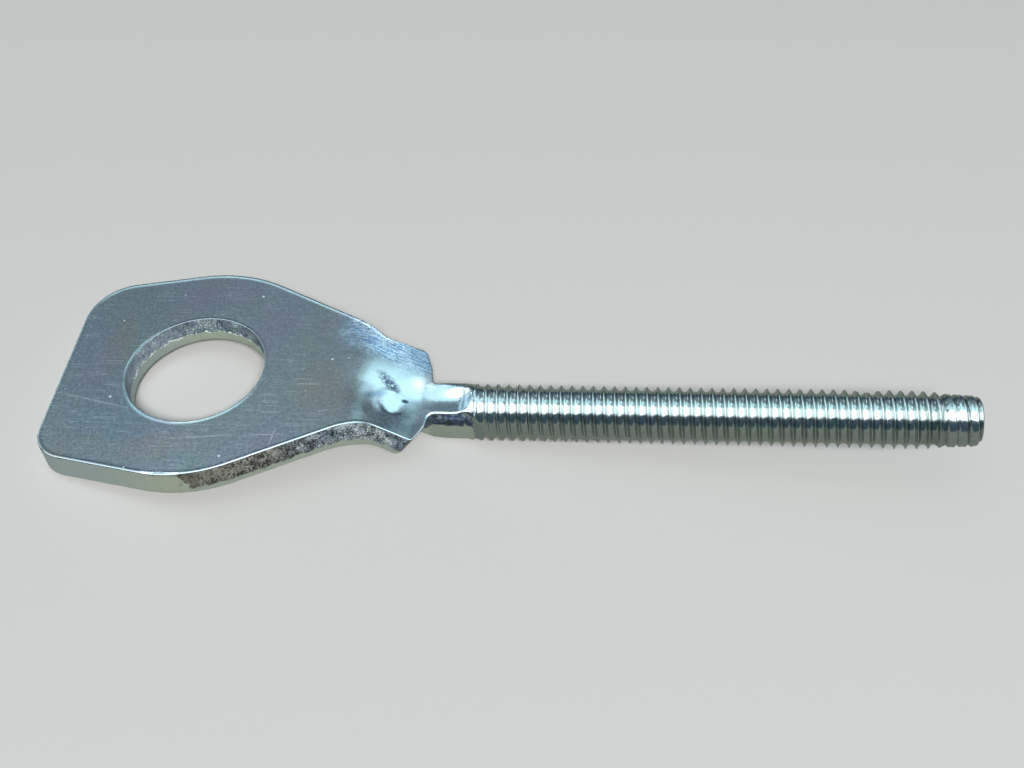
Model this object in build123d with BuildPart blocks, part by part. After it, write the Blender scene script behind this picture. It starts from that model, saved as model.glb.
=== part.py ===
"""Motorcycle chain adjuster, forged and trimmed in one piece.

A flat eye plate slides on the wheel axle. Past the eye it is joggled down and
swaged through a square neck into a round stud, which carries the adjusting thread.
"""

import os
from math import acos, atan2, cos, degrees, hypot, pi, radians, sin, tan

from build123d import *

# Eye plate
plate_thickness = 4.0
hole_diameter = 18.5
eye_radius = 18.2  # outline round the axle hole
end_reach = 0.1  # flat end, beyond the eye's round outline
end_taper = 10.7  # degrees that each side leans in towards the flat end
end_corner_radius = 6.0
lower_edge_radius = 0.4  # rolled over where the trimming die drew the metal in

# Joggle, the sloping strip between the eye and the neck
bend_reach = 4.05  # bend on the upper face, beyond the eye's round outline
joggle_angle = 32.0
bend_radius = 6.5  # upper face, over the bend
under_bend_radius = 9.0  # lower face, in the hollow of the bend
wing_width = 15.2
flank_run = 2.55  # bend to where the leaning sides reach the wing's width
wing_overrun = 0.4  # strip left past the lower bend, on each side of the neck
wing_blend_radius = 3.0
wing_corner_radius = 2.0
neck_root_radius = 1.3

# Square neck
neck_width = 5.1
neck_height = 5.5
neck_length = 7.2  # lower bend to the thread
neck_bend_radius = 3.0

# Threaded stud, drawn at the thread's major diameter
stud_diameter = 7.6
stud_length = 64.9
stud_offset = 5.84  # stud axis below the middle of the plate
runout_length = 2.6  # the neck's flats fading into the round
runout_rise = 0.45  # height that the first turns still lack
first_turns = 1.4
end_chamfer = 0.8

# Levels and stations that follow from these sizes
end_distance = eye_radius + end_reach
bend_distance = eye_radius + bend_reach
flank_distance = bend_distance + flank_run
plate_top = plate_thickness / 2
plate_bottom = -plate_thickness / 2
neck_top = neck_height / 2 - stud_offset
neck_bottom = -neck_height / 2 - stud_offset
slope = radians(joggle_angle)
lower_bend = bend_distance + (plate_top - neck_top) / tan(slope)
under_bend = bend_distance - plate_thickness * tan(slope / 2)
under_neck = under_bend + (plate_bottom - neck_bottom) / tan(slope)
thread_start = lower_bend + neck_length
stud_end = thread_start + stud_length
slope_length = (plate_top - neck_top) / sin(slope)
overlap = 1.0  # how far one stretch runs into the next
cut_depth = 2 * (plate_thickness + stud_offset + neck_height)

# Half widths where the sides of the outline meet their neighbours
end_lean = radians(end_taper)
wing_half_width = wing_width / 2
flank_reach = hypot(flank_distance, wing_half_width)
flank_bearing = atan2(wing_half_width, flank_distance)
neck_lean = pi / 2 - flank_bearing - acos(eye_radius / flank_reach)  # sides run off the eye as tangents
end_half_width = eye_radius / cos(end_lean) - end_distance * tan(end_lean)
wing_start = flank_distance + wing_blend_radius * tan(neck_lean / 2)
neck_half_width = neck_width / 2

# Outline of the eye and the leaning sides, trimmed square to the flat plate
with BuildPart() as eye_trim:
    with BuildSketch(Plane.XY):
        with BuildLine():
            shoulder = CenterArc((0, 0), eye_radius, 90 + end_taper, -end_taper - degrees(neck_lean))
            FilletPolyline(
                (-end_distance, 0),
                (-end_distance, end_half_width),
                shoulder @ 0,
                radius=[end_corner_radius],
            )
            sides = FilletPolyline(
                shoulder @ 1,
                (flank_distance, wing_half_width),
                (wing_start + overlap, wing_half_width),
                radius=[wing_blend_radius],
            )
            Line(sides @ 1, (wing_start + overlap, 0))
            mirror(about=Plane.XZ)
        make_face()
    extrude(amount=cut_depth, both=True)
    split(bisect_by=Plane.YZ.offset(wing_start), keep=Keep.BOTTOM)

# Outline of the wings, trimmed square to the sloping strip, down to the neck's root
slope_plane = Plane(
    origin=(bend_distance, 0, plate_top),
    x_dir=(cos(slope), 0, -sin(slope)),
    z_dir=(sin(slope), 0, cos(slope)),
)
wing_end = slope_length + wing_overrun
root_end = wing_end + neck_root_radius + overlap
with BuildPart() as strip_trim:
    with BuildSketch(slope_plane):
        with BuildLine():
            FilletPolyline(
                (0, wing_half_width),
                (wing_end, wing_half_width),
                (wing_end, neck_half_width),
                (root_end, neck_half_width),
                radius=[wing_corner_radius, neck_root_radius],
            )
            Line((root_end, neck_half_width), (root_end, 0))
            Line((0, wing_half_width), (0, 0))
            mirror(about=Plane.XZ)
        make_face()
    extrude(amount=cut_depth, both=True)
    split(bisect_by=Plane.YZ.offset(wing_start - overlap), keep=Keep.TOP)

# The whole outline: the eye, the strip and the straight sides of the neck
with BuildPart() as outline:
    add(eye_trim.part)
    add(strip_trim.part)
    with BuildSketch(Plane.XY):
        with Locations(((wing_start + thread_start) / 2, 0)):
            Rectangle(thread_start - wing_start, neck_width)
    extrude(amount=cut_depth, both=True)

# Side view of the plate, the joggle and the neck, with rounded bends, trimmed to the outline
with BuildPart() as chain_adjuster:
    with BuildSketch(Plane.XZ):
        with BuildLine():
            upper = FilletPolyline(
                (-end_distance - overlap, plate_top),
                (bend_distance, plate_top),
                (lower_bend, neck_top),
                (thread_start, neck_top),
                radius=[bend_radius, neck_bend_radius],
            )
            lower = FilletPolyline(
                (-end_distance - overlap, plate_bottom),
                (under_bend, plate_bottom),
                (under_neck, neck_bottom),
                (thread_start, neck_bottom),
                radius=[under_bend_radius, neck_bend_radius],
            )
            Line(upper @ 0, lower @ 0)
            Line(upper @ 1, lower @ 1)
        make_face()
    extrude(amount=eye_radius + overlap, both=True)
    add(outline.part, mode=Mode.INTERSECT)

    # Lower edge of the eye, drawn round by the trimming die
    lower_face = chain_adjuster.faces().filter_by(Axis.Z).sort_by(SortBy.AREA)[-2:].sort_by(Axis.Z)[0]
    eye_edges = lower_face.edges().sort_by(Axis.X)[:-1]
    fillet(eye_edges, lower_edge_radius)

    # Stud, rising out of the neck's flats to the thread's full diameter
    with BuildSketch(Plane.XZ.shift_origin((0, 0, -stud_offset))):
        with BuildLine():
            Polyline(
                (thread_start - runout_length, 0),
                (thread_start - runout_length, neck_half_width),
                (thread_start, stud_diameter / 2 - runout_rise),
                (thread_start + first_turns, stud_diameter / 2),
                (stud_end - end_chamfer, stud_diameter / 2),
                (stud_end, stud_diameter / 2 - end_chamfer),
                (stud_end, 0),
                close=True,
            )
        make_face()
    revolve(axis=Axis((0, 0, -stud_offset), (1, 0, 0)))

    # Axle hole, punched through the eye
    with Locations((0, 0, plate_top)):
        Hole(hole_diameter / 2, depth=plate_thickness)

chain_adjuster.part.label = "chain_adjuster"
os.makedirs("parts", exist_ok=True)
export_step(chain_adjuster.part, "parts/chain_adjuster.step")
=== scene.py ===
import math
from functools import partialmethod

import bmesh
import bpy
from mathutils import Matrix, Vector, noise


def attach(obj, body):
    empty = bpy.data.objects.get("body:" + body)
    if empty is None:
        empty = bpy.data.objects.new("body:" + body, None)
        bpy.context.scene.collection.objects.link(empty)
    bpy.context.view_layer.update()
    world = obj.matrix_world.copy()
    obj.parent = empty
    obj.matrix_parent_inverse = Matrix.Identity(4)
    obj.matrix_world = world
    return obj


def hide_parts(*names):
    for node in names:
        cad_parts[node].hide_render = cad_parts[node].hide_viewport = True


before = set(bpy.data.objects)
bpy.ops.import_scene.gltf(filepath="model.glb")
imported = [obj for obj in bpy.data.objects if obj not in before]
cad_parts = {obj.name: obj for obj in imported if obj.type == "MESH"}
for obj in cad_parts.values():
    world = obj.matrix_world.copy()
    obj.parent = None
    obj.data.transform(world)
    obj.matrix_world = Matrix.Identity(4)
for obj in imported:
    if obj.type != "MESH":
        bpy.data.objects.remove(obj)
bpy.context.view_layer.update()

# Forged faces: a steel bar is hammered flat into an eye plate, joggled down between two wings and swaged
# into a square neck, with a hollow down the joggle and the punch's round mark in it. The zinc on them has
# a thin blue passivate. Lengths are in millimetres from the centre of the axle hole.
MM = 0.001
plate_face = 1.88  # general level of the upper face
plate_under = -2.0
plate_thickness = 4.0
slope = math.radians(32.0)
bend = 22.25
bend_round = 6.5
under_bend = bend - plate_thickness * math.tan(slope / 2)
under_bend_round = 9.0
neck_face = -3.09
neck_under = -8.59
foot_round = 3.0
foot = bend + (plate_face - neck_face) / math.tan(slope)
under_foot = under_bend + (plate_under - neck_under) / math.tan(slope)


def ease(low, high, value):
    """Smooth rise from 0 to 1 between two stations."""
    share = min(1.0, max(0.0, (value - low) / (high - low)))
    return share * share * (3.0 - 2.0 * share)


def blend(a, b, share):
    return a + (b - a) * share


def side_line(x, face, bend_x, bend_r, sunk, foot_x, foot_r):
    """Height of one face along the part: flat, down the slope, level again, with rounded bends."""
    over = bend_x - bend_r * math.tan(slope / 2)
    under = foot_x + foot_r * math.tan(slope / 2)
    if x <= over:
        return face
    if x <= over + bend_r * math.sin(slope):
        return face - bend_r + math.sqrt(bend_r ** 2 - (x - over) ** 2)
    if x <= under - foot_r * math.sin(slope):
        return face - (x - bend_x) * math.tan(slope)
    if x <= under:
        return sunk + foot_r - math.sqrt(foot_r ** 2 - (under - x) ** 2)
    return sunk


# Swaged hollow that runs down the joggle into the neck
hollow_start = 21.4
hollow_full = 25.6
hollow_fades = 34.6
hollow_end = 36.8
hollow_depth = 0.74
hollow_line = -4.3  # where it is deepest across the joggle
hollow_ramp = 7.4  # width of its far side
front_wing_edge = 8.4
neck_hollow_depth = 0.46
neck_hollow_line = -0.45
neck_hollow_ramp = 2.9
neck_near_reach = 4.2
hollow_soft = 0.14  # roundness of its bottom, as a share of its width
joggle_to_neck = (24.0, 31.2)  # stations between which one form turns into the other
ramp_narrows = (25.0, 32.0)
ramp_straightens = (29.6, 32.4)
front_wing_ends = (30.0, 31.8)


def rounded_vee(across):
    return math.sqrt(across ** 2 + hollow_soft ** 2) - hollow_soft


def hollow(x, y):
    """Depth of the swaged hollow: a long ramp on the far side, the front wing leaning into it."""
    down = ease(*joggle_to_neck, x)
    line = blend(hollow_line, neck_hollow_line, down)
    depth = blend(hollow_depth, neck_hollow_depth, down)
    depth *= ease(hollow_start + 0.25 * abs(y + 1.0), hollow_full, x)
    depth *= 1.0 - ease(hollow_fades, hollow_end, x)
    if y > line:
        across = min(1.0, (y - line) / blend(hollow_ramp, neck_hollow_ramp, ease(*ramp_narrows, x)))
        swept = math.cos(across * math.pi / 2) ** 2
        plain = 1.0 - rounded_vee(across) / rounded_vee(1.0)
        return depth * blend(swept, plain, ease(*ramp_straightens, x))
    near_reach = blend(front_wing_edge + line, neck_near_reach, ease(*front_wing_ends, x))
    return depth * (1.0 - rounded_vee(min(1.0, (line - y) / near_reach)))


# Round mark of the swaging punch
mark_centre = (26.6, -2.7)
mark_radius = 1.62
mark_sink = 0.13
mark_fall = 0.636  # how steeply the facet falls towards the neck
mark_lean = 0.194  # and rises towards the far side
mark_lip = 0.13
mark_lip_width = 0.40
mark_lip_way = math.radians(140.0)


def punch_mark(x, y, height, middle_height):
    """Round facet that the swaging punch left, with a raised lip on the plate's side."""
    along = (x - mark_centre[0]) / math.cos(slope)
    across = y - mark_centre[1]
    away = math.hypot(along, across)
    facet = middle_height - mark_sink + mark_lean * across - mark_fall * (x - mark_centre[0])
    inside = 1.0 - ease(0.82 * mark_radius, 1.02 * mark_radius, away)
    facing = max(0.0, math.cos(math.atan2(across, along) - mark_lip_way))
    lip = mark_lip * facing * math.exp(-((away - mark_radius * 1.2) / mark_lip_width) ** 2)
    return blend(height + lip, facet, inside)


# Upper and lower face, with the hammer's faint waves
plate_wave = 0.018
joggle_wave = 0.04
joggle_wave_in = (20.5, 24.0)
joggle_wave_out = (36.0, 38.0)
under_wave = 0.03
neck_start = 31.5
neck_ridge = 0.24  # how far the neck's far edge stands up
ridge_along = (31.0, 33.4)
ridge_across = (-0.2, 2.2)
neck_far_rise = 0.75  # and rises on towards the stud
far_rise_along = (32.8, 36.2)
far_rise_across = (0.2, 1.9)
flat_runs_out = 35.2  # where the neck's upper flat starts to rise into the round bar
flat_rise_rate = 0.43
flat_rise_power = 1.15
bar_radius = 3.74
bar_reach_squared = 7.5  # half width that the bar's round covers
stud_axis = -5.84


def forging_waves(x, y):
    flat = plate_wave * noise.noise(Vector((x * 0.11, y * 0.11, 3.7)))
    rough = joggle_wave * noise.noise(Vector((x * 0.5, y * 0.5, 9.1)))
    return flat + ease(*joggle_wave_in, x) * (1.0 - ease(*joggle_wave_out, x)) * rough


def flat_rise(x):
    """How far the neck's upper flat has risen out of the bar."""
    return flat_rise_rate * max(0.0, x - flat_runs_out) ** flat_rise_power


def forged_face(x, y):
    height = side_line(x, plate_face, bend, bend_round, neck_face, foot, foot_round)
    ridge = neck_ridge * ease(*ridge_along, x) * ease(*ridge_across, y)
    far_rise = neck_far_rise * ease(*far_rise_along, x) * ease(*far_rise_across, y)
    return height + ridge + flat_rise(x) + far_rise - hollow(x, y) + forging_waves(x, y)


mark_height = forged_face(*mark_centre)


def upper_face(x, y):
    height = punch_mark(x, y, forged_face(x, y), mark_height)
    if x < neck_start:
        return height
    return min(height, stud_axis + math.sqrt(bar_radius ** 2 - min(y * y, bar_reach_squared)))


def lower_face(x, y):
    height = side_line(x, plate_under, under_bend, under_bend_round, neck_under, under_foot, foot_round)
    return height + under_wave + under_wave * noise.noise(Vector((x * 0.2, y * 0.2, 21.0)))


# Outline that the press trims: each wing corner is along, across and the radius of its round
eye_radius = 18.17
flat_end = -18.28
end_lean = math.radians(10.7)
end_corner_back = 7.0
end_corner_front = 4.8
flank_corner = 24.8
flank_round = 3.0
wing_half = 7.6
far_wing = [(31.2, 2.75, 1.0), (30.6, 5.7, 2.5), (29.55, 8.3, 0.9)]
near_wing = [(31.2, 2.5, 0.9), (31.0, 4.7, 1.6), (29.75, 7.72, 0.6)]
neck_half = 2.55
neck_end = 35.9
wing_edge_round = 0.42
neck_flat_half = neck_half - wing_edge_round
neck_spans = 22


def rounded_path(corners, spacing):
    """Points along straight runs joined by arcs."""
    points = [Vector(corners[0][:2])]

    def straight(to):
        origin = points[-1].copy()
        count = max(1, round((to - origin).length / spacing(origin.lerp(to, 0.5))))
        for step in range(1, count + 1):
            points.append(origin.lerp(to, step / count))

    for index in range(1, len(corners) - 1):
        here = Vector(corners[index][:2])
        back = (Vector(corners[index - 1][:2]) - here).normalized()
        ahead = (Vector(corners[index + 1][:2]) - here).normalized()
        radius = corners[index][2]
        half = back.angle(ahead) / 2
        start = here + back * (radius / math.tan(half))
        middle = here + (back + ahead).normalized() * (radius / math.sin(half))
        turn = math.copysign(math.pi - 2 * half, -back.cross(ahead))
        straight(start)
        count = max(3, round(radius * abs(turn) / spacing(start)))
        for step in range(1, count + 1):
            points.append(middle + Matrix.Rotation(turn * step / count, 2) @ (start - middle))
    straight(Vector(corners[-1][:2]))
    return points


def outline_spacing(point):
    return blend(0.62, 0.30, ease(14.0, 23.0, point.x)) + 0.7 * ease(32.4, 33.6, point.x)


flank_reach = math.hypot(flank_corner, wing_half)
flank_normal = math.atan2(wing_half, flank_corner) + math.acos(eye_radius / flank_reach)
end_normal = math.pi / 2 + end_lean
shoulder_far = eye_radius / math.cos((end_normal - flank_normal) / 2)
shoulder_at = (end_normal + flank_normal) / 2
end_half = eye_radius / math.cos(end_lean) + flat_end * math.tan(end_lean)


def half_outline(side, wing, end_corner):
    """Outline from the neck round to the middle of the flat end, on one side of the part."""
    corners = [
        (neck_end, neck_half, 0.0),
        *wing,
        (flank_corner, wing_half, flank_round),
        (shoulder_far * math.cos(shoulder_at), shoulder_far * math.sin(shoulder_at), eye_radius),
        (flat_end, end_half, end_corner),
        (flat_end, 0.0, 0.0),
    ]
    return rounded_path([(x, side * y, radius) for x, y, radius in corners], outline_spacing)


outline = half_outline(1.0, far_wing, end_corner_back)
outline += half_outline(-1.0, near_wing, end_corner_front)[-2::-1]
wall_count = len(outline)
inward = []
for index in range(wall_count):
    along = (outline[min(wall_count - 1, index + 1)] - outline[max(0, index - 1)]).normalized()
    inward.append(Vector((-along.y, along.x)))

# Points across the end of the neck, where the stud takes over, close the ring
for step in range(1, neck_spans):
    outline.append(Vector((neck_end, neck_flat_half * blend(-1.0, 1.0, step / neck_spans))))
    inward.append(Vector((-1.0, 0.0)))
ring = len(outline)

verts = []
wall_depth = []
thread_height = []
faces = []
face_finish = []
finish_face, finish_wall, finish_bore, finish_thread = range(4)


def add_vert(x, y, z, depth=0.0, height=1.0):
    """One point of the skin, with its depth down a wall and its height on the thread."""
    verts.append((x, y, z))
    wall_depth.append(depth)
    thread_height.append(height)
    return len(verts) - 1


def add_face(corners, finish):
    faces.append(corners)
    face_finish.append(finish)


def skin(columns, closed, inside_out, finish, edge_rows=0):
    """Faces between the rows of a set of columns. The first rows, on a rounded edge, are forged."""
    rows = list(zip(*columns))
    for row in range(len(rows) - 1):
        upper, lower = rows[row:row + 2]
        if inside_out:
            upper, lower = lower, upper
        for index in range(len(upper) if closed else len(upper) - 1):
            beside = (index + 1) % len(upper)
            corners = (upper[index], upper[beside], lower[beside], lower[index])
            add_face(corners, finish_face if row < edge_rows else finish)


# Grid lines run from the hole's edge to the outline. On their way to the wings and the neck they pass
# through a gate across the joggle, so that the hollow is evenly covered.
hole_radius_top = 9.33
hole_radius_low = 9.17
hole_rim_round = 0.07
hole_low_round = 0.1
upper_gate = 28.0
upper_rows = (44, 14)  # before and after the gate
upper_steps = [0.0, 0.06, 0.13, 0.22, 0.36, 0.55]  # first rows from each edge
lower_gate = 23.0
lower_rows = (20, 8)
lower_steps = [0.0, 0.15, 0.4]
neck_root = 32.2
neck_share = 1.2  # half of the gate that leads to the end of the neck
side_share = 2.05  # and up to the neck's root
wing_margin = 0.5


def gate_points(rim, gate_x, by_count):
    """Where each grid line crosses the joggle on its way to the wings and the neck, or None elsewhere."""
    furthest = {}
    for side in (1.0, -1.0):
        wing = [index for index in range(wall_count) if rim[index].x > gate_x and rim[index].y * side > 0.0]
        furthest[side] = max(wing, key=lambda index: rim[index].y * side)
    gates = []
    for index in range(ring):
        point = rim[index]
        if index >= wall_count:
            gates.append(Vector((gate_x, point.y * neck_share / neck_flat_half)))
            continue
        side = 1.0 if point.y >= 0.0 else -1.0
        passed = index if side > 0.0 else wall_count - 1 - index
        whole = furthest[1.0] if side > 0.0 else wall_count - 1 - furthest[-1.0]
        if passed > whole:
            gates.append(None)
            continue
        wing_end = abs(rim[furthest[side]].y)
        if by_count:
            across = blend(neck_share, wing_end - wing_margin, passed / whole)
        elif point.x > neck_root:
            across = blend(side_share, neck_share, (point.x - neck_root) / (neck_end - neck_root))
        else:
            out = max(0.0, (abs(point.y) - neck_flat_half) / (wing_end - neck_flat_half))
            across = blend(side_share, wing_end - wing_margin, out)
        gates.append(Vector((gate_x, side * across)))
    return gates


def hole_turns(rim, gate_x):
    """Angle round the hole where each grid line starts: spread evenly, but straight out to the joggle."""
    turns = []
    for index, gate in enumerate(gate_points(rim, gate_x, False)):
        aim = gate or rim[index]
        polar = math.atan2(aim.y, aim.x) % (2 * math.pi)
        even = (2 * math.pi * (index - (ring - neck_spans / 2)) / ring) % (2 * math.pi)
        difference = (even - polar + math.pi) % (2 * math.pi) - math.pi
        turns.append(polar + blend(0.55, 0.08, ease(8.0, 24.0, aim.x)) * difference)
    return turns


def grid_lines(rim, hole_radius, gate_x, by_count, rows, steps):
    """Plan points of each line from the hole's edge to the outline, with their distance from the hole."""
    lines = []
    for index, gate in enumerate(gate_points(rim, gate_x, by_count)):
        start = Vector((math.cos(hole_turn[index]), math.sin(hole_turn[index]))) * hole_radius
        stop = rim[index]
        if gate is None:
            gate = start.lerp(stop, blend(0.69, 0.93, ease(18.0, gate_x + 0.8, stop.x)))
        first = (gate - start).length
        last = (stop - gate).length
        line = [(start.lerp(gate, step / first), step) for step in steps]
        for step in range(1, rows[0] + 1):
            span = blend(steps[-1], first, step / rows[0])
            line.append((start.lerp(gate, span / first), span))
        for step in range(1, rows[1] + 1):
            span = blend(0.0, last - steps[-1], step / rows[1])
            line.append((gate.lerp(stop, span / last), first + span))
        for step in reversed(steps[:-1]):
            line.append((stop.lerp(gate, step / last), first + last - step))
        lines.append(line)
    return lines


def inset_rim(rim, inset_at):
    """The outline moved in to where the flat of a face ends."""
    moved = []
    for index, point in enumerate(rim):
        moved.append(point + inward[index] * (inset_at(point) if index < wall_count else 0.0))
    return moved


# Upper face, with the lip that the press leaves along its edges
edge_drop = 0.20  # worn upper edge of the eye, height
edge_inset = 0.24  # and width
burr_height = 0.10
burr_width = 0.20
burr_inset = 0.05
burr_fades = (24.0, 28.0)
far_edge_softens = (26.5, 29.5)
near_edge_softens = (30.4, 31.4)


def edge_at(point):
    """Width and height of the worn upper edge: a bevel round the eye, softer on the wings and neck."""
    forged = ease(*(far_edge_softens if point.y > 0.0 else near_edge_softens), point.x)
    return blend(edge_inset, wing_edge_round, forged), blend(edge_drop, wing_edge_round, forged)


def burr(distance):
    return math.exp(-((distance - burr_inset) / burr_width) ** 2)


upper_rim = inset_rim(outline, lambda point: edge_at(point)[0])
hole_turn = hole_turns(upper_rim, upper_gate)
hole_edge = hole_radius_top + hole_rim_round
upper_columns = []
for index, line in enumerate(grid_lines(upper_rim, hole_edge, upper_gate, False, upper_rows, upper_steps)):
    length = line[-1][1]
    outer_burr = burr_height * (1.0 - ease(*burr_fades, outline[index].x)) if index < wall_count else 0.0
    column = []
    for point, span in line:
        lip = burr_height * burr(span) + outer_burr * burr(length - span)
        ragged = 0.75 + 0.25 * noise.noise(Vector((point.x * 1.3, point.y * 1.3, 5.0)))
        column.append(add_vert(point.x, point.y, upper_face(point.x, point.y) + lip * ragged))
    upper_columns.append(column)
skin(upper_columns, True, False, finish_face)

# Lower face, set back on the wings because the strip is trimmed square to its slope
die_roll = 0.40  # lower edge, drawn round by the trimming die
square_shift = plate_thickness * math.sin(slope)
set_back_in = (25.6, 29.4)
set_back_out = (32.0, neck_end - 0.4)
lower_outline = []
for point in outline:
    back = ease(*set_back_in, point.x) * (1.0 - ease(*set_back_out, point.x))
    lower_outline.append(Vector((point.x - square_shift * back, point.y)))
lower_rim = inset_rim(lower_outline, lambda point: die_roll)
hole_low_edge = hole_radius_low + hole_low_round
lower_columns = []
for line in grid_lines(lower_rim, hole_low_edge, lower_gate, True, lower_rows, lower_steps):
    lower_columns.append([add_vert(point.x, point.y, lower_face(point.x, point.y)) for point, span in line])
skin(lower_columns, True, True, finish_face)


class Finish:
    """Nodes of one finish or effect. Its masks and its colour vary over the place on the part."""

    def __init__(self, tree, place=None):
        self.tree = tree
        self.place = place
        self.colour = None
        self.shader = None

    def feed(self, socket, value):
        """Sets a socket, or wires another node's output into it. A colour is set as red, green and blue."""
        if isinstance(value, bpy.types.NodeSocket):
            self.tree.links.new(value, socket)
        elif socket.type == "RGBA":
            socket.default_value = (*value, 1.0)
        else:
            socket.default_value = value

    def node(self, kind, inputs, **settings):
        """A new node, with its inputs fed."""
        made = self.tree.nodes.new("ShaderNode" + kind)
        for label, value in settings.items():
            setattr(made, label, value)
        for label, value in inputs.items():
            self.feed(made.inputs[label], value)
        return made

    def maths(self, operation, first, second=0.0):
        return self.node("Math", {0: first, 1: second}, operation=operation).outputs[0]

    plus = partialmethod(maths, "ADD")
    less = partialmethod(maths, "SUBTRACT")
    times = partialmethod(maths, "MULTIPLY")
    most = partialmethod(maths, "MAXIMUM")

    def rise(self, value, low, high, start=0.0, stop=1.0):
        """Smooth step of a value, from start at low to stop at high."""
        inputs = {"Value": value, "From Min": low, "From Max": high, "To Min": start, "To Max": stop}
        return self.node("MapRange", inputs, interpolation_type="SMOOTHSTEP").outputs["Result"]

    def mixed(self, share, first, second):
        """Mix of two colours."""
        return self.node("Mix", {0: share, 6: first, 7: second}, data_type="RGBA").outputs[2]

    def tint(self, mask, share, colour):
        """Lays a colour over the finish so far, where the mask is, at a share of its strength."""
        self.colour = self.mixed(self.times(mask, share), self.colour, colour)

    def axes(self):
        """The place along, across and up."""
        return self.node("SeparateXYZ", {0: self.place}).outputs

    def stretched(self, turn, sizes, place=None):
        """The place, turned about the hole's axis and stretched."""
        inputs = {"Vector": place or self.place, "Rotation": (0.0, 0.0, turn), "Scale": sizes}
        return self.node("Mapping", inputs).outputs["Vector"]

    def grain(self, scale, detail=2.0, distortion=0.0, place=None):
        """Plain noise over the surface, about 0.5 on average."""
        inputs = {"Vector": place or self.place, "Scale": scale, "Detail": detail, "Distortion": distortion}
        return self.node("TexNoise", inputs).outputs["Fac"]

    def waver(self, scale, detail, reach):
        """Noise to both sides of zero."""
        return self.times(self.less(self.grain(scale, detail), 0.5), reach)

    def carried(self, label):
        """A value that the skin carries at its points."""
        return self.node("Attribute", {}, attribute_name=label).outputs["Fac"]

    def placed(self, effect, values):
        """One use of an effect, with its own values."""
        return self.node("Group", {"Place": self.place, **values}, node_tree=effect.tree).outputs

    def spot(self, *sizes):
        """Mask of a soft spot, from its sizes in order."""
        return self.placed(soft_spot, dict(zip(spot_sizes, sizes)))["Mask"]

    def bumped(self, height, depth, strength):
        inputs = {"Height": height, "Distance": depth * MM, "Strength": strength}
        self.gives("Normal", self.node("Bump", inputs).outputs["Normal"])

    def gives(self, label, value):
        """What the finish gives its shader."""
        self.feed(self.shader.inputs[label], value)


number = "NodeSocketFloat"


def new_effect(name, inputs, outputs):
    """An empty node group: the finish that builds it, its inputs and its outputs."""
    group = bpy.data.node_groups.new(name, "ShaderNodeTree")
    group.interface.new_socket(name="Place", in_out="INPUT", socket_type="NodeSocketVector")
    for label in inputs:
        group.interface.new_socket(name=label, in_out="INPUT", socket_type=number)
    for label, kind in outputs:
        group.interface.new_socket(name=label, in_out="OUTPUT", socket_type=kind)
    given = group.nodes.new("NodeGroupInput").outputs
    result = group.nodes.new("NodeGroupOutput").inputs
    return Finish(group, given["Place"]), given, result


# Soft spot: an oval patch of the surface, with a soft and ragged border
spot_sizes = ("Along", "Across", "Half length", "Half width", "Turn", "Softness", "Ragged", "Grain")
soft_spot, given, result = new_effect("soft_spot", spot_sizes, [("Mask", number)])
spot_axes = soft_spot.axes()
from_x = soft_spot.less(spot_axes[0], given["Along"])
from_y = soft_spot.less(spot_axes[1], given["Across"])
turn_cos = soft_spot.maths("COSINE", given["Turn"])
turn_sin = soft_spot.maths("SINE", given["Turn"])
long_way = soft_spot.plus(soft_spot.times(from_x, turn_cos), soft_spot.times(from_y, turn_sin))
short_way = soft_spot.less(soft_spot.times(from_y, turn_cos), soft_spot.times(from_x, turn_sin))
long_share = soft_spot.maths("DIVIDE", long_way, given["Half length"])
short_share = soft_spot.maths("DIVIDE", short_way, given["Half width"])
squares = soft_spot.plus(soft_spot.times(long_share, long_share), soft_spot.times(short_share, short_share))
raggedness = soft_spot.waver(given["Grain"], 3.0, given["Ragged"])
spot_reach = soft_spot.plus(soft_spot.maths("SQRT", squares), raggedness)
spot_inner = soft_spot.less(1.0, given["Softness"])
spot_outer = soft_spot.plus(1.0, given["Softness"])
soft_spot.feed(result["Mask"], soft_spot.rise(spot_reach, spot_inner, spot_outer, 1.0, 0.0))

# Passivate: the faint clouds of blue, green, violet and straw that the thin clear film gives the zinc
blue_zinc = (0.430, 0.490, 0.510)
green_zinc = (0.430, 0.500, 0.470)
violet_zinc = (0.480, 0.470, 0.510)
straw_zinc = (0.490, 0.490, 0.450)
passivate, given, result = new_effect("passivate", ("Strength",), [("Colour", "NodeSocketColor")])
wide_clouds = passivate.grain(0.075, 2.0, 0.6)
other_clouds = passivate.grain(0.11, 2.0, 0.4, passivate.stretched(0.7, (1.0, 0.7, 1.0)))
passivate.colour = blue_zinc
passivate.tint(passivate.rise(wide_clouds, 0.50, 0.66), given["Strength"], green_zinc)
passivate.tint(passivate.rise(other_clouds, 0.52, 0.68), given["Strength"], violet_zinc)
passivate.tint(passivate.rise(other_clouds, 0.46, 0.30), given["Strength"], straw_zinc)
passivate.feed(result["Colour"], passivate.colour)

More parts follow.
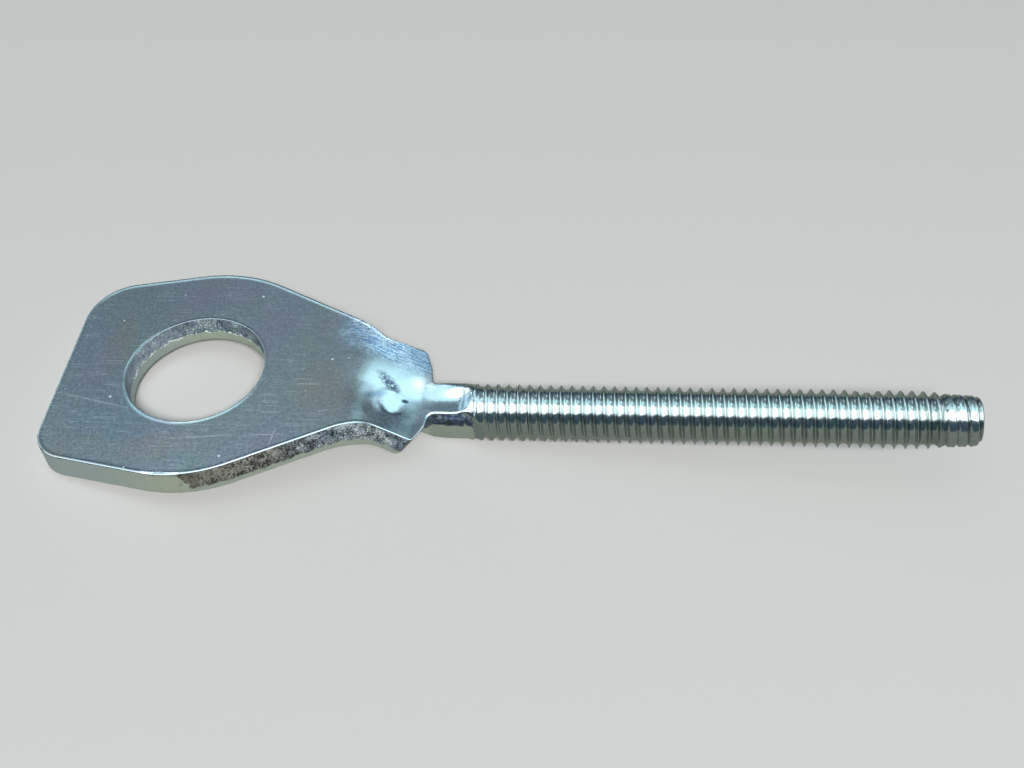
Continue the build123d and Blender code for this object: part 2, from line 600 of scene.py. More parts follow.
# Handling: fine hairline scratches and small bright nicks
handling, given, result = new_effect("handling", (), [("Hairlines", number), ("Nicks", number)])
hairlines = 0.0
for scratch_turn, scratch_seed in ((0.12, 3.0), (1.0, 17.0), (-0.5, 29.0)):
    shift = (scratch_seed, scratch_seed * 2.0, 0.0)
    moved = handling.node("VectorMath", {0: handling.place, 1: shift}, operation="ADD").outputs[0]
    lane = handling.grain(1.0, 1.0, 0.0, handling.stretched(scratch_turn, (0.05, 0.9, 1.0), moved))
    from_lane = handling.maths("ABSOLUTE", handling.less(lane, 0.5))
    broken = handling.rise(handling.grain(0.22, 2.0, 0.0, moved), 0.54, 0.66)
    hairline = handling.times(handling.rise(from_lane, 0.0, 0.012, 1.0, 0.0), broken)
    hairlines = handling.most(hairlines, hairline)
handling.feed(result["Hairlines"], hairlines)
cells = handling.node("TexVoronoi", {"Vector": handling.place, "Scale": 0.42})
cell_pick = handling.node("SeparateColor", {0: cells.outputs["Color"]})
nick_size = handling.rise(cell_pick.outputs[1], 0.0, 1.0, 0.03, 0.09)
nick = handling.rise(cells.outputs["Distance"], handling.times(nick_size, 0.5), nick_size, 1.0, 0.0)
nicked_cell = handling.maths("GREATER_THAN", cell_pick.outputs[0], 0.62)
handling.feed(result["Nicks"], handling.times(nick, nicked_cell))

finishes = []


def plated(name):
    """A zinc plated finish: one metal shader, and the place on the part in millimetres."""
    material = bpy.data.materials.new(name)
    material.use_nodes = True
    finish = Finish(material.node_tree)
    finish.tree.nodes.clear()
    finish.shader = finish.node("BsdfPrincipled", {"Metallic": 1.0})
    finish.node("OutputMaterial", {"Surface": finish.shader.outputs["BSDF"]})
    metres = finish.node("TexCoord", {}).outputs["Object"]
    finish.place = finish.node("VectorMath", {0: metres, "Scale": 1.0 / MM}, operation="SCALE").outputs[0]
    finishes.append(material)
    return finish


# Zinc on the forged faces
face = plated("zinc_on_forged_face")
face_along = face.axes()[0]
marks = face.placed(handling, {})
handled = face.rise(face_along, 19.0, 21.5, 1.0, 0.0)
hairlines = face.times(marks["Hairlines"], handled)
nicks = face.times(marks["Nicks"], handled)
face.colour = face.placed(passivate, {"Strength": 0.85})["Colour"]
rolled_cloud = face.grain(1.2, 4.0, 0.0, face.stretched(0.0, (0.35, 1.6, 1.0)))
face.tint(face.rise(rolled_cloud, 0.3, 0.7), 0.18, (0.30, 0.35, 0.37))

# Clouds of tint where the film dried thicker: along, across, half length, half width, turn and tint
violet_cloud = (0.46, 0.41, 0.50)
brown_cloud = (0.50, 0.45, 0.40)
green_cloud = (0.42, 0.50, 0.44)
deep_blue_cloud = (0.36, 0.46, 0.56)
tint_clouds = [
    (0.3, 14.3, 6.0, 2.4, 0.1, violet_cloud),
    (10.3, 8.7, 2.6, 2.0, 0.4, violet_cloud),
    (-13.7, -0.7, 3.0, 4.5, 0.2, violet_cloud),
    (15.5, 1.5, 4.0, 5.0, 0.0, green_cloud),
    (-2.4, -13.7, 5.0, 2.0, 0.15, brown_cloud),
    (12.5, -4.5, 4.0, 3.0, -0.3, green_cloud),
    (-16.2, 4.9, 2.2, 5.0, 0.1, deep_blue_cloud),
    (-9.0, -9.5, 5.0, 3.0, -0.2, deep_blue_cloud),
    (18.5, -4.0, 4.5, 5.0, 0.0, brown_cloud),
]
for *sizes, cloud_tint in tint_clouds:
    face.tint(face.spot(*sizes, 0.6, 1.1, 0.35), 0.5, cloud_tint)
# Painted shade: the eye darkens towards its flat end
painted_shade_to_flat_end = face.rise(face_along, 10.0, -14.0)
face.tint(painted_shade_to_flat_end, 0.20, (0.03, 0.03, 0.03))

# Swaged metal in the hollow is bright, partly with a painted highlight, and the far wing is left blue and
# brushed, with a patch of painted shade
# Bright patch in the hollow: partly burnished metal, partly a painted highlight
burnished_and_highlight = face.spot(28.6, 0.3, 7.2, 4.2, 0.05, 0.45, 0.6, 0.8)
mottled = face.spot(26.0, 6.9, 7.0, 3.4, -0.18, 0.40, 0.9, 1.2)
brushed = face.grain(1.0, 4.0, 0.0, face.stretched(0.10, (0.45, 4.2, 1.0)))
mottle = face.plus(face.times(brushed, 0.6), face.times(face.grain(2.6, 5.0), 0.4))
mottle = face.rise(mottle, 0.44, 0.56)
mottle_colour = face.mixed(mottle, (0.29, 0.43, 0.66), (0.74, 0.88, 1.0))
wing_shade = face.spot(29.1, 6.5, 1.9, 1.5, -0.6, 0.6, 0.9, 1.2)
mottle_colour = face.mixed(face.times(wing_shade, 0.7), mottle_colour, (0.26, 0.36, 0.50))
face.tint(mottled, 0.85, mottle_colour)
face.tint(burnished_and_highlight, 0.7, (0.60, 0.70, 0.74))
# Painted highlight: a bright spot at the far side of the neck's root
painted_highlight_spot = face.spot(30.1, 2.4, 1.5, 1.0, 0.3, 0.8, 0.3, 0.8)
face.tint(painted_highlight_spot, 1.0, (0.96, 0.98, 0.98))
disc = face.spot(26.7, -2.7, 1.5, 1.3, 0.0, 0.25, 0.35, 1.0)
face.tint(disc, 0.8, (0.50, 0.58, 0.60))
# Painted shade: a dark ring round the rim of the punch's mark
disc_outer = face.spot(26.7, -2.7, 1.85, 1.62, 0.0, 0.10, 0.25, 1.0)
disc_inner = face.spot(26.7, -2.7, 1.55, 1.34, 0.0, 0.14, 0.25, 1.0)
face.tint(face.less(disc_outer, disc_inner), 0.35, (0.30, 0.40, 0.48))
# Painted shade: the near wing, the neck's hollow, the near side of the bend and a crescent beside the
# punch's mark are darkened
near_wing_painted_shade = face.spot(28.0, -5.4, 3.4, 1.9, 0.2, 0.7, 0.6, 0.8)
face.tint(near_wing_painted_shade, 0.5, (0.25, 0.28, 0.30))
neck_shade = face.spot(33.0, -1.2, 2.1, 0.8, 0.22, 0.6, 0.5, 1.0)
face.tint(neck_shade, 0.5, (0.26, 0.33, 0.40))
bend_painted_shade = face.spot(22.9, -4.6, 1.5, 2.4, 0.3, 0.7, 0.5, 0.8)
face.tint(bend_painted_shade, 0.45, (0.25, 0.28, 0.30))
disc_shade = face.spot(24.5, -2.3, 1.5, 0.45, 0.76, 0.7, 0.5, 1.2)
face.tint(disc_shade, 0.75, (0.17, 0.24, 0.31))
streak_area = face.spot(25.95, 0.45, 1.5, 0.72, -0.62, 0.55, 0.9, 1.8)
streaks = face.rise(face.grain(2.6, 4.0, 0.0, face.stretched(0.9, (0.8, 1.7, 1.0))), 0.37, 0.49)
streaks = face.times(streaks, face.times(streak_area, 0.95))
face.tint(streaks, 1.0, (0.06, 0.08, 0.12))
scar = face.spot(28.1, -1.45, 0.42, 0.28, 0.4, 0.4, 0.6, 3.0)
face.tint(scar, 1.0, (0.07, 0.09, 0.12))

# Scratches, nicks and torn crumbs of zinc scatter the light, so they read pale and matt
scratches = 0.0
long_scratches = [
    (-12.4, -5.9, 5.4, 0.10, -0.24),
    (12.0, -11.2, 2.0, 0.10, 0.05),
    (13.1, -11.4, 1.2, 0.10, 1.45),
    (3.5, -11.8, 4.0, 0.10, 0.1),
]
for sizes in long_scratches:
    scratches = face.most(scratches, face.spot(*sizes, 0.5, 1.2, 1.6))
flank_edge = face.spot(21.8, 9.2, 4.6, 1.1, -0.51, 0.7, 0.8, 1.0)
sparkle = face.times(face.rise(face.grain(3.2, 3.0), 0.55, 0.62), flank_edge)
bare = face.most(face.times(scratches, 0.26), nicks)
bare = face.most(bare, face.times(hairlines, 0.16))
bare = face.most(bare, sparkle)
face.tint(bare, 1.0, (0.80, 0.85, 0.88))
face.gives("Metallic", face.less(1.0, bare))
face.gives("Base Color", face.colour)
face_rough = face.rise(face.grain(2.2, 4.0), 0.2, 0.8, 0.20, 0.32)
face_rough = face.plus(face_rough, face.times(burnished_and_highlight, 0.03))
face.gives("Roughness", face.plus(face_rough, face.times(mottled, 0.10)))
face_relief = face.times(face.grain(5.0, 3.0), 0.05)
face_relief = face.plus(face_relief, face.times(face.times(mottle, mottled), 0.6))
face_relief = face.less(face_relief, face.times(hairlines, 0.25))
face_relief = face.plus(face_relief, face.times(nicks, 0.5))
face.bumped(face.less(face_relief, face.times(streaks, 0.8)), 0.03, 0.6)

# Trimmed wall: the press shears the forging from below, so the steel is smooth there and torn above. It has
# a thin worn edge at the top and a rolled edge at the bottom.
round_steps = 4
wall_steps = 10
tear_height = 0.05
tear_ends = (0.45, 0.75)  # shares of the wall's height
tear_along = (-12.0, 4.0)


def tear(x, y, z):
    coarse = noise.noise(Vector((x * 1.1, y * 1.1, z * 1.6)))
    fine = noise.noise(Vector((x * 3.1, y * 3.1, z * 3.4 + 7.0)))
    return tear_height * (0.6 * coarse + 0.6 * fine)


wall_columns = []
for index in range(wall_count):
    top = outline[index]
    low = lower_outline[index]
    inside = inward[index]
    edge_wide, edge_deep = edge_at(top)
    top_z = verts[upper_columns[index][-1]][2]
    low_z = verts[lower_columns[index][-1]][2]
    height = top_z - low_z
    column = [upper_columns[index][-1]]
    for step in range(1, round_steps + 1):
        angle = math.pi / 2 * step / round_steps
        place = top + inside * (edge_wide * (1.0 - math.sin(angle)))
        depth = edge_deep * (1.0 - math.cos(angle))
        column.append(add_vert(place.x, place.y, top_z - depth, depth / height))
    for step in range(1, wall_steps + 1):
        share = blend(edge_deep, height - die_roll, step / wall_steps) / height
        place = top.lerp(low, share)
        z = top_z - share * height
        rough = (1.0 - ease(*tear_ends, share)) * ease(*tear_along, top.x)
        push = inside * (tear_height - tear(place.x, place.y, z)) * rough
        column.append(add_vert(place.x + push.x, place.y + push.y, z, share))
    for step in range(1, round_steps):
        angle = math.pi / 2 * step / round_steps
        place = low + inside * (die_roll * (1.0 - math.cos(angle)))
        lift = die_roll * (1.0 - math.sin(angle))
        column.append(add_vert(place.x, place.y, low_z + lift, 1.0 - lift / height))
    column.append(lower_columns[index][-1])
    wall_columns.append(column)
skin(wall_columns, False, False, finish_wall, round_steps - 1)


def torn_wall(name, dark, warm, cold, light, sheared, tear_line, torn_from, dark_step, painted_highlight_step,
              sparkle_from, painted_light_left, painted_shade_right_and_near, gloom_step):
    """A pressed wall: torn, speckled metal above a wavering line, smooth sheared metal below it."""
    wall = plated(name)
    depth = wall.carried("wall_depth")
    along, across = wall.axes()[:2]
    on_neck = wall.rise(along, 30.2, 31.6)
    to_wing = wall.rise(along, 12.0, 19.0)

    # The tear starts raggedly along the eye, and stays above a wavering line
    straggle = wall.plus(along, wall.waver(1.3, 4.0, 6.0))
    line = wall.rise(straggle, torn_from - 0.6, torn_from + 2.2, 0.02, tear_line)
    line = wall.times(line, wall.rise(on_neck, 0.0, 1.0, 1.0, 0.66))
    above = wall.less(wall.plus(depth, wall.waver(1.1, 5.0, 0.30)), line)
    torn = wall.rise(above, -0.04, 0.04, 1.0, 0.0)

    # Torn metal: dark pits, grey fibres and bright crumbs
    fibres = wall.grain(1.0, 4.0, 0.0, wall.stretched(0.0, (3.4, 3.4, 1.2)))
    grit = wall.grain(5.5, 4.0, 0.2)
    clumps = wall.grain(0.7, 3.0)
    speckle = wall.plus(wall.times(grit, 0.45), wall.times(fibres, 0.30))
    speckle = wall.plus(speckle, wall.times(clumps, 0.25))
    first_torn = wall.rise(along, torn_from + 2.0, torn_from + 9.0, 0.75, 0.0)
    middle = wall.mixed(first_torn, wall.mixed(to_wing, warm, cold), (0.26, 0.235, 0.195))
    middle = wall.mixed(on_neck, middle, (0.09, 0.145, 0.255))
    pits = wall.mixed(first_torn, dark, (0.16, 0.145, 0.115))
    # Painted shade: the torn metal gets more dark pits from 7 to 21 mm along, by the step given
    gloom = wall.times(wall.rise(along, 7.0, 11.0), wall.rise(along, 21.0, 17.0))
    pit_to = wall.plus(0.53, wall.times(gloom, gloom_step))
    wall.colour = wall.mixed(wall.rise(speckle, 0.43, pit_to), pits, middle)
    pale = wall.times(wall.rise(wall.grain(1.7, 4.0), 0.46, 0.62), wall.rise(depth, 0.40, 0.12))
    wall.tint(wall.times(pale, on_neck), 0.75, (0.50, 0.57, 0.78))
    glitter = wall.plus(wall.times(wall.grain(4.2, 2.0), 0.6), wall.times(clumps, 0.4))
    bright_from = wall.rise(to_wing, 0.0, 1.0, sparkle_from, sparkle_from - 0.045)
    bright_from = wall.plus(bright_from, wall.times(on_neck, 0.12))
    frost = wall.times(wall.rise(along, 19.5, 22.5), wall.rise(along, 28.5, 25.0))
    bright_from = wall.less(bright_from, wall.times(frost, 0.075))
    crumbs = wall.rise(wall.less(glitter, bright_from), 0.0, 0.07)
    wall.tint(crumbs, 1.0, light)
    near_line = wall.times(wall.rise(above, -0.30, -0.06), wall.rise(grit, 0.60, 0.42))
    wall.tint(near_line, dark_step, dark)
    # Painted light towards the left end, and painted shade towards the right end and the near side, at the
    # shares given
    wall.tint(wall.rise(along, -1.0, -8.0), painted_light_left, (0.66, 0.76, 0.84))
    wall.tint(wall.rise(along, 4.0, 8.5), painted_shade_right_and_near, dark)
    wall.tint(wall.rise(across, 1.0, -3.5), painted_shade_right_and_near, dark)
    torn_colour = wall.colour

    # Sheared metal: smooth, drawn downwards by the punch, bluer round the flat end
    drawn = wall.grain(1.0, 3.0, 0.0, wall.stretched(0.0, (2.0, 2.0, 0.15)))
    wall.colour = sheared
    wall.tint(wall.rise(drawn, 0.35, 0.7), 0.14, (0.42, 0.47, 0.43))
    wall.tint(wall.rise(along, -2.0, -10.0), 0.8, (0.50, 0.58, 0.61))
    wall.tint(on_neck, 0.6, (0.36, 0.41, 0.37))
    straw = wall.spot(0.2, -17.6, 2.4, 2.0, 0.0, 0.6, 0.8, 0.6)
    wall.tint(straw, 0.2, (0.66, 0.68, 0.42))
    wall.colour = wall.mixed(torn, wall.colour, torn_colour)

    # The step between them has painted highlights here and there
    broken = wall.rise(wall.grain(1.4, 3.0), 0.42, 0.56)
    step = wall.times(wall.times(torn, wall.less(1.0, torn)), broken)
    step = wall.maths("MINIMUM", wall.times(step, painted_highlight_step), 1.0)
    wall.tint(step, 1.0, (0.95, 0.98, 1.0))
    wall.gives("Metallic", wall.rise(step, 0.0, 1.0, 0.75, 0.1))
    wall.gives("Base Color", wall.colour)
    wall.gives("Roughness", wall.rise(torn, 0.0, 1.0, 0.42, 0.48))
    wall.bumped(wall.plus(wall.times(speckle, torn), wall.times(drawn, 0.06)), 0.10, 0.8)


torn_wall(
    "zinc_on_trimmed_wall", dark=(0.05, 0.05, 0.055), warm=(0.60, 0.58, 0.52), cold=(0.40, 0.50, 0.62),
    light=(0.92, 0.97, 1.0), sheared=(0.58, 0.65, 0.57), tear_line=0.74, torn_from=1.6, dark_step=0.7,
    painted_highlight_step=0.0, sparkle_from=0.60, painted_light_left=0.0, painted_shade_right_and_near=0.0, gloom_step=0.07,
)

# Punched hole: the axle's hole, punched through the plate from below. Its wall is sheared smooth in the
# lower part and torn above, where it opens a little wider.
bore_steps = 10
rim_steps = 3
bore_narrows = (0.45, 0.66)  # shares of the bore's height
bore_tear_ends = (0.45, 0.68)
tear_set_back = 0.02
bore_columns = []
for index in range(ring):
    way = Vector((math.cos(hole_turn[index]), math.sin(hole_turn[index])))
    top_z = verts[upper_columns[index][0]][2]
    height = top_z - verts[lower_columns[index][0]][2]
    column = [upper_columns[index][0]]
    for step in range(1, rim_steps + 1):
        angle = math.pi / 2 * step / rim_steps
        place = way * (hole_radius_top + hole_rim_round * (1.0 - math.sin(angle)))
        depth = hole_rim_round * (1.0 - math.cos(angle))
        column.append(add_vert(place.x, place.y, top_z - depth, depth / height))
    for step in range(1, bore_steps + 1):
        share = blend(hole_rim_round, height - hole_low_round, step / bore_steps) / height
        radius = blend(hole_radius_top, hole_radius_low, ease(*bore_narrows, share))
        z = top_z - share * height
        spot = way * radius
        radius += (tear(spot.x, spot.y, z) + tear_set_back) * (1.0 - ease(*bore_tear_ends, share))
        column.append(add_vert(way.x * radius, way.y * radius, z, share))
    column.append(lower_columns[index][0])
    bore_columns.append(column)
skin(bore_columns, True, True, finish_bore, rim_steps - 1)

torn_wall(
    "zinc_on_punched_bore", dark=(0.11, 0.14, 0.19), warm=(0.36, 0.45, 0.54), cold=(0.36, 0.45, 0.54),
    light=(0.86, 0.96, 1.0), sheared=(0.64, 0.71, 0.60), tear_line=0.60, torn_from=-40.0, dark_step=0.0,
    painted_highlight_step=4.0, sparkle_from=0.54, painted_light_left=0.30, painted_shade_right_and_near=0.6, gloom_step=0.0,
)

# Threaded stud: the neck's flats run out into round bar, which is rolled with the adjusting thread. The
# last turns are worn broad and the tip is rounded.
stud_radius = 3.79
pitch = 1.411
thread_depth = 0.65
lean_above = math.radians(35.0)  # flanks, from square to the axis, on the upper side
lean_below = math.radians(25.0)
root_round_above = 0.423
root_round_below = 0.585
crest_at = 38.571  # a crest on the line of the upper silhouette
crest_turn = math.radians(42.4)
thread_from = crest_at - pitch * (crest_turn + math.pi / 2) / (2 * math.pi) - pitch
runout_start = 35.9
runout_full = 39.2
flats_open = 0.52  # how far the neck's flats have opened at the end of the run-out
flats_open_power = 1.6
stud_tip = 102.2

# Section where the neck turns into the stud, in order round the stud's axis from below
neck_loop = [upper_columns[index][-1] for index in range(wall_count - 1, ring)] + [upper_columns[0][-1]]
neck_loop += wall_columns[0][1:]
neck_loop += [lower_columns[index][-1] for index in range(ring - 1, wall_count - 1, -1)]
neck_loop += wall_columns[wall_count - 1][:0:-1]


def stud_turn(vert):
    """Angle about the stud's axis, from straight below, right-handed about the way to the tip."""
    x, y, z = verts[vert]
    return (math.atan2(z - stud_axis, y) + math.pi / 2) % (2 * math.pi)


neck_loop.sort(key=stud_turn)
around = len(neck_loop)
neck_turns = [stud_turn(vert) for vert in neck_loop]
neck_radii = [math.hypot(verts[vert][1], verts[vert][2] - stud_axis) for vert in neck_loop]


def neck_radius(turn):
    """Distance of the neck's surface from the stud's axis at any angle."""
    for index in range(around):
        start = neck_turns[index - 1] - (2 * math.pi if index == 0 else 0.0)
        stop = neck_turns[index]
        if start <= turn <= stop:
            return blend(neck_radii[index - 1], neck_radii[index], (turn - start) / (stop - start))
    share = (turn - neck_turns[-1]) / (neck_turns[0] + 2 * math.pi - neck_turns[-1])
    return blend(neck_radii[-1], neck_radii[0], share)


def squeezed(x, turn):
    """The neck's flats, opening out until the round bar stands clear of them: the upper one first."""
    opened = max(0.0, (x - runout_start) / (runout_full - runout_start))
    sides = neck_radius(turn) * (1.0 + flats_open * opened ** flats_open_power)
    upward = max(0.0, math.sin(turn - math.pi / 2))
    return sides + upward ** 2 * max(0.0, flat_rise(x) - flat_rise(neck_end))


def thread_cut(share, turn):
    """Depth below the crest at a share of one pitch: thin crest, steep flanks, wide round root."""
    above = (0.5 + 0.5 * math.cos(turn - math.pi / 2 - crest_turn)) ** 3
    lean = blend(lean_below, lean_above, above)
    root = blend(root_round_below, root_round_above, above)
    from_root = pitch / 2 - min(share, 1.0 - share) * pitch
    if from_root < root * math.cos(lean):
        return thread_depth - root + math.sqrt(root ** 2 - from_root ** 2)
    height = root * (1.0 - math.sin(lean)) + (from_root - root * math.cos(lean)) / math.tan(lean)
    return max(0.0, thread_depth - height)


worn_depth = 0.10
worn_groove = 0.36
worn_groove_width = 0.19
worn_crown = 0.10


def worn_cut(share):
    """The last turns at the tip: broad, rounded lands with narrow grooves."""
    from_root = abs(share - 0.5) * pitch
    groove = worn_groove * math.exp(-(from_root / worn_groove_width) ** 2)
    return worn_depth + groove + worn_crown * (2 * from_root / pitch) ** 2


thread_opens = (36.0, 37.8)
shallow_from = 38.0  # the first turns are rolled shallow
shallow_share = 0.42
shallow_run = 7.0
worn_turns = (95.6, 98.8)
bruise_at = 87.8
bruise_depth = 0.36
bruise_length = 1.5
bruise_spread = 0.45  # radians round the stud
roll_wave = 0.012
tip_taper = (93.0, 102.0)
tip_taper_depth = 0.36
tip_round_long = 1.4
tip_round_deep = 0.70


def stud_point(x, turn, share):
    """One point of the stud: its distance from the axis, and its height on the thread."""
    angle = turn - math.pi / 2
    shallow = shallow_share * math.exp(-max(0.0, x - shallow_from) / shallow_run)
    full = ease(*thread_opens, x) * (1.0 - shallow)
    cut_depth = blend(full * thread_cut(share, turn), worn_cut(share), ease(*worn_turns, x))
    bruise = math.exp(-((x - bruise_at) / bruise_length) ** 2 - ((angle - crest_turn) / bruise_spread) ** 2)
    cut_depth = max(cut_depth, bruise_depth * bruise)
    rolled = roll_wave * full * noise.noise(Vector((x * 0.9, math.cos(angle) * 2.0, math.sin(angle) * 2.0)))
    radius = stud_radius - roll_wave - cut_depth + rolled - tip_taper_depth * ease(*tip_taper, x)
    from_tip = stud_tip - x
    if from_tip < tip_round_long:
        bent = 1.0 - max(0.0, from_tip) / tip_round_long
        radius -= tip_round_deep * (1.0 - math.sqrt(max(0.0, 1.0 - bent * bent)))
    if x < runout_full:
        radius = min(radius, squeezed(x, turn))
    return radius, 1.0 - cut_depth / thread_depth


def round_stud(turn, radius):
    """Across and up, at an angle and a distance from the stud's axis."""
    angle = turn - math.pi / 2
    return radius * math.cos(angle), stud_axis + radius * math.sin(angle)


def add_stud_vert(x, turn, share):
    radius, height = stud_point(x, turn, share)
    y, z = round_stud(turn, radius)
    return add_vert(x, y, z, (neck_face - z) / (neck_face - neck_under), height)


# Each line along the stud: the run-out, the helix, the worn last turns and the rounded tip
runout_stations = [36.0, 36.1, 36.2, 36.3, 36.4, 36.5]
turn_shares = [0.0, 0.03, 0.09, 0.15, 0.23, 0.34, 0.5, 0.66, 0.77, 0.85, 0.91, 0.97]
full_turns = 44
start_rows = 8
stop_rows = 14
worn_ring = 100.3
tip_rows = 16
tip_insets = (0.25, 0.7, 1.5)
tip_dish = 0.03  # how much the tip's flat sinks per millimetre inwards
stud_lines = []
for index in range(around):
    turn = 2 * math.pi * index / around
    line = [neck_loop[index]]
    for x in runout_stations:
        here = blend(neck_turns[index], turn, ease(neck_end, runout_stations[-1], x))
        line.append(add_stud_vert(x, here, ((x - thread_from) / pitch - here / (2 * math.pi)) % 1.0))
    helix_start = thread_from + pitch * index / around
    helix_stop = helix_start + pitch * full_turns
    for step in range(1, start_rows):
        x = blend(runout_stations[-1], helix_start, step / start_rows)
        line.append(add_stud_vert(x, turn, ((x - helix_start) / pitch) % 1.0))
    for whole in range(full_turns):
        for share in turn_shares:
            line.append(add_stud_vert(helix_start + pitch * (whole + share), turn, share))
    line.append(add_stud_vert(helix_stop, turn, turn_shares[0]))
    stations = [blend(helix_stop, worn_ring, step / stop_rows) for step in range(1, stop_rows + 1)]
    for step in range(1, tip_rows + 1):
        stations.append(blend(worn_ring, stud_tip, 1.0 - (1.0 - step / tip_rows) ** 1.3))
    for x in stations:
        line.append(add_stud_vert(x, turn, ((x - helix_start) / pitch) % 1.0))
    for inset in tip_insets:
        ring_radius = max(0.3, stud_point(stud_tip, turn, 0.0)[0] - inset)
        line.append(add_vert(stud_tip - tip_dish * inset, *round_stud(turn, ring_radius)))
    stud_lines.append(line)


side_flats_end = 37.0
side_flat_lean = math.radians(47.0)
side_flat_sink = 0.15  # least depth of a flat below the round bar
forged_flat_sink = 0.3


def stud_finish(vert_a, vert_b):
    """Trimmed finish on the neck's side flats, forged on its upper and lower flats, rolled on the rest."""
    x = (verts[vert_a][0] + verts[vert_b][0]) / 2
    if x > runout_full:
        return finish_thread
    turn = stud_turn(vert_a)
    lean = abs(turn % math.pi - math.pi / 2)
    flat_sinks = stud_radius - squeezed(x, turn)
    if x < side_flats_end and lean < side_flat_lean and flat_sinks > side_flat_sink:
        return finish_wall
    return finish_face if flat_sinks > forged_flat_sink else finish_thread


for line_a, line_b in zip(stud_lines, stud_lines[1:]):
    for row in range(len(line_a) - 1):
        corners = (line_a[row], line_b[row], line_b[row + 1], line_a[row + 1])
        add_face(corners, stud_finish(line_a[row], line_b[row + 1]))

# The seam below, where each turn of the helix meets the next, and the tip's flat
last_line = stud_lines[-1][:-len(tip_insets)]
first_line = stud_lines[0][:-len(tip_insets)]
at_last = 0
at_first = 0
while at_last < len(last_line) - 1 or at_first < len(first_line) - 1:
    if at_first == len(first_line) - 1:
        last_next = True
    elif at_last == len(last_line) - 1:
        last_next = False
    else:
        last_next = verts[last_line[at_last + 1]][0] <= verts[first_line[at_first + 1]][0]
    start = (last_line[at_last], first_line[at_first])
    if last_next:
        at_last += 1
        stop = last_line[at_last]
    else:
        at_first += 1
        stop = first_line[at_first]
    add_face((*start, stop), stud_finish(start[0], stop))
for row in range(-len(tip_insets) - 1, -1):
    corners = (stud_lines[-1][row], stud_lines[0][row], stud_lines[0][row + 1], stud_lines[-1][row + 1])
    add_face(corners, finish_thread)
tip_centre = add_vert(stud_tip - 2 * tip_dish, 0.0, stud_axis)
for index in range(around):
    add_face((stud_lines[index][-1], stud_lines[(index + 1) % around][-1], tip_centre), finish_thread)

# Zinc on the rolled thread: smooth, drawn metal, with paler worn crests and darker brown last grooves
thread = plated("zinc_on_rolled_thread")
crest = thread.carried("thread_height")
roll_marks = thread.grain(2.4, 4.0)
thread_film = thread.placed(passivate, {"Strength": 0.5})["Colour"]
thread.colour = thread.mixed(0.5, thread_film, (0.54, 0.58, 0.54))
thread.tint(thread.rise(roll_marks, 0.45, 0.75), 0.4, (0.34, 0.38, 0.38))
thread.tint(thread.rise(crest, 0.86, 0.98), 0.35, (0.62, 0.68, 0.70))
# The grooves of the last turns towards the tip are darkened brown
last_grooves = thread.times(thread.rise(crest, 0.70, 0.30), thread.rise(thread.axes()[0], 93.0, 98.0))
thread.tint(last_grooves, 0.45, (0.11, 0.095, 0.08))
thread.gives("Base Color", thread.colour)
thread.gives("Roughness", thread.rise(roll_marks, 0.3, 0.7, 0.13, 0.22))
thread.bumped(roll_marks, 0.02, 0.5)

# Chain adjuster: the faces, walls, hole and stud are the skin of one piece of steel, in one closed mesh
# with four finishes of the same zinc.
mesh = bpy.data.meshes.new("chain_adjuster_skin")
mesh.from_pydata([(x * MM, y * MM, z * MM) for x, y, z in verts], [], faces)
mesh.polygons.foreach_set("use_smooth", [True] * len(mesh.polygons))
mesh.polygons.foreach_set("material_index", face_finish)
shell = bmesh.new()
shell.from_mesh(mesh)
bmesh.ops.recalc_face_normals(shell, faces=shell.faces)
shell.to_mesh(mesh)
shell.free()
for label, values in (("wall_depth", wall_depth), ("thread_height", thread_height)):
    mesh.attributes.new(label, "FLOAT", "POINT").data.foreach_set("value", values)
mesh.update()
for material in finishes:
    mesh.materials.append(material)
adjuster = bpy.data.objects.new("chain_adjuster_plated", mesh)
bpy.context.scene.collection.objects.link(adjuster)
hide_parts("chain_adjuster")
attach(adjuster, "root")

# Floor: a plain sheet of pale paper, under the two lines that the adjuster rests on. The metal mirrors
# a dimmer bench below itself, so the paper turns to that colour for mirror rays.
paper_colour = (0.605, 0.600, 0.585)
mirrored_colour = (0.262, 0.278, 0.238)
rest_along = 39.0  # where the stud's first turns touch the paper
rest_drop = 3.8  # from the stud's axis down to that touch
floor_half = 6.0
floor_gap = 0.00002
rest_back = Vector((flat_end, 0.0, plate_under)) * MM
rest_front = Vector((rest_along, 0.0, stud_axis - rest_drop)) * MM
floor_along = (rest_front - rest_back).normalized()
floor_up = Vector((-floor_along.z, 0.0, floor_along.x))
floor_centre = rest_back.lerp(rest_front, 0.5) - floor_up * floor_gap
floor_corners = []
for side_x, side_y in ((-1, -1), (1, -1), (1, 1), (-1, 1)):
    across = Vector((0, side_y * floor_half, 0))
    floor_corners.append(floor_centre + floor_along * (side_x * floor_half) + across)
floor_mesh = bpy.data.meshes.new("paper_sheet")
floor_mesh.from_pydata(floor_corners, [], [(0, 1, 2, 3)])
floor = bpy.data.objects.new("paper_floor", floor_mesh)
bpy.context.scene.collection.objects.link(floor)
pale_paper = bpy.data.materials.new("pale_paper")
pale_paper.use_nodes = True
paper = Finish(pale_paper.node_tree)
paper.shader = pale_paper.node_tree.nodes["Principled BSDF"]
mirror_ray = paper.node("LightPath", {}).outputs["Is Glossy Ray"]
paper.gives("Base Color", paper.mixed(mirror_ray, paper_colour, mirrored_colour))
paper.gives("Roughness", 0.9)
paper.gives("Specular IOR Level", 0.1)
floor_mesh.materials.append(pale_paper)

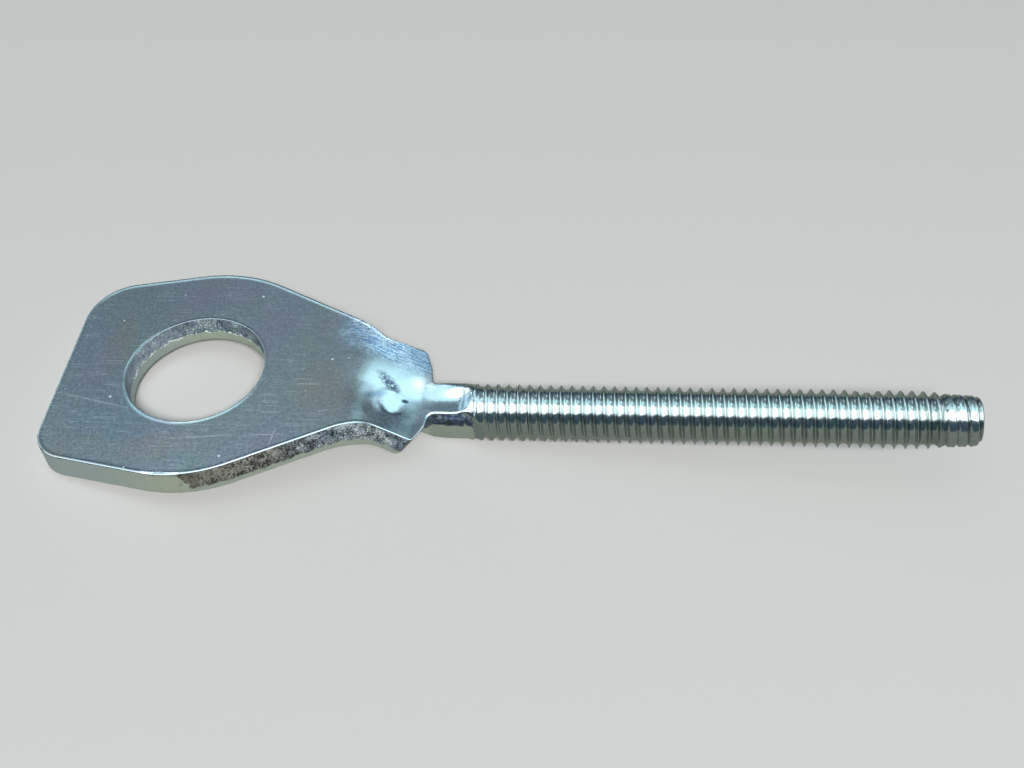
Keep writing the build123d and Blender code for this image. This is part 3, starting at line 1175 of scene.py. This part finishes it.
# Light: one large soft box overhead, two fills that the metal doesn't mirror, which keep the shadow on the
# paper faint, and pale cards that light nothing but show in the metal.
object_middle = Vector((36.0, 0.0, -4.0)) * MM
overhead_tint = (1.0, 0.99, 0.965)
cold_tint = (0.88, 0.97, 1.03)
sky_tint = (0.77, 0.84, 0.95)
bright_tint = (0.63, 0.92, 1.0)


def soft_box(name, way, distance, size_x, size_y, radiance, colour):
    lamp = bpy.data.lights.new(name, "AREA")
    lamp.shape = "RECTANGLE"
    lamp.size = size_x
    lamp.size_y = size_y
    lamp.energy = radiance * math.pi * size_x * size_y
    lamp.color = colour
    holder = bpy.data.objects.new(name, lamp)
    way = Vector(way).normalized()
    holder.location = object_middle + way * distance
    holder.rotation_euler = way.to_track_quat("Z", "Y").to_euler()
    bpy.context.scene.collection.objects.link(holder)
    return holder


soft_box("overhead_box", (0.0, -0.31, 0.95), 0.6, 0.60, 0.50, 0.38, overhead_tint)
fills = [
    soft_box("ceiling_fill", (0.0, 0.0, 1.0), 1.2, 3.0, 3.0, 0.12, overhead_tint),
    soft_box("camera_fill", (0.25, -0.645, 0.722), 1.6, 0.44, 0.20, 97.0, overhead_tint),
]
for fill in fills:
    fill.visible_glossy = False
cards = [
    soft_box("long_card", (0.0, -0.31, 0.95), 0.75, 3.0, 0.60, 3.2, cold_tint),
    soft_box("sky_card", (0.05, 0.24, 0.97), 0.62, 2.6, 0.22, 1.5, bright_tint),
    soft_box("back_card", (-0.12, 0.66, 0.72), 0.8, 0.90, 0.60, 0.283, sky_tint),
    soft_box("right_card", (0.66, 0.38, 0.65), 0.6, 0.30, 0.28, 1.3, bright_tint),
    soft_box("low_card", (0.47, 0.83, 0.30), 0.8, 0.50, 0.26, 0.12, sky_tint),
    soft_box("left_card", (-0.70, 0.64, 0.30), 0.7, 0.26, 0.24, 1.8, bright_tint),
    soft_box("left_low_card", (-0.85, 0.33, 0.17), 0.8, 0.40, 0.36, 1.7, cold_tint),
    soft_box("right_low_card", (0.85, 0.33, 0.17), 0.8, 0.40, 0.36, 1.7, cold_tint),
    soft_box("right_halo", (0.66, 0.38, 0.65), 0.62, 0.52, 0.46, 0.60, bright_tint),
]
for card in cards:
    card.visible_diffuse = False
world = bpy.data.worlds.new("dim_room")
world.use_nodes = True
room = world.node_tree.nodes["Background"]
room.inputs["Color"].default_value = (0.06, 0.105, 0.14, 1.0)
room.inputs["Strength"].default_value = 1.0
bpy.context.scene.world = world
bpy.context.scene.view_settings.view_transform = "Standard"

# Camera: a long lens held over the near side, a little to the right of the middle
frame_width = 1024
focal_pixels = 1441.04
sensor = 36.0
lens = bpy.data.cameras.new("photo_camera")
lens.sensor_width = sensor
lens.lens = focal_pixels * sensor / frame_width
lens.clip_start = 0.005
camera = bpy.data.objects.new("photo_camera", lens)
eye = Vector((67.84, -125.37, 137.20)) * MM
right = Vector((0.9906, 0.1029, -0.0896)).normalized()
look = Vector((-0.1356, 0.6679, -0.7318)).normalized()
up = right.cross(look).normalized()
right = look.cross(up).normalized()
camera.matrix_world = Matrix((
    (right.x, up.x, -look.x, eye.x),
    (right.y, up.y, -look.y, eye.y),
    (right.z, up.z, -look.z, eye.z),
    (0.0, 0.0, 0.0, 1.0),
))
bpy.context.scene.collection.objects.link(camera)
bpy.context.scene.camera = camera

bpy.context.view_layer.update()
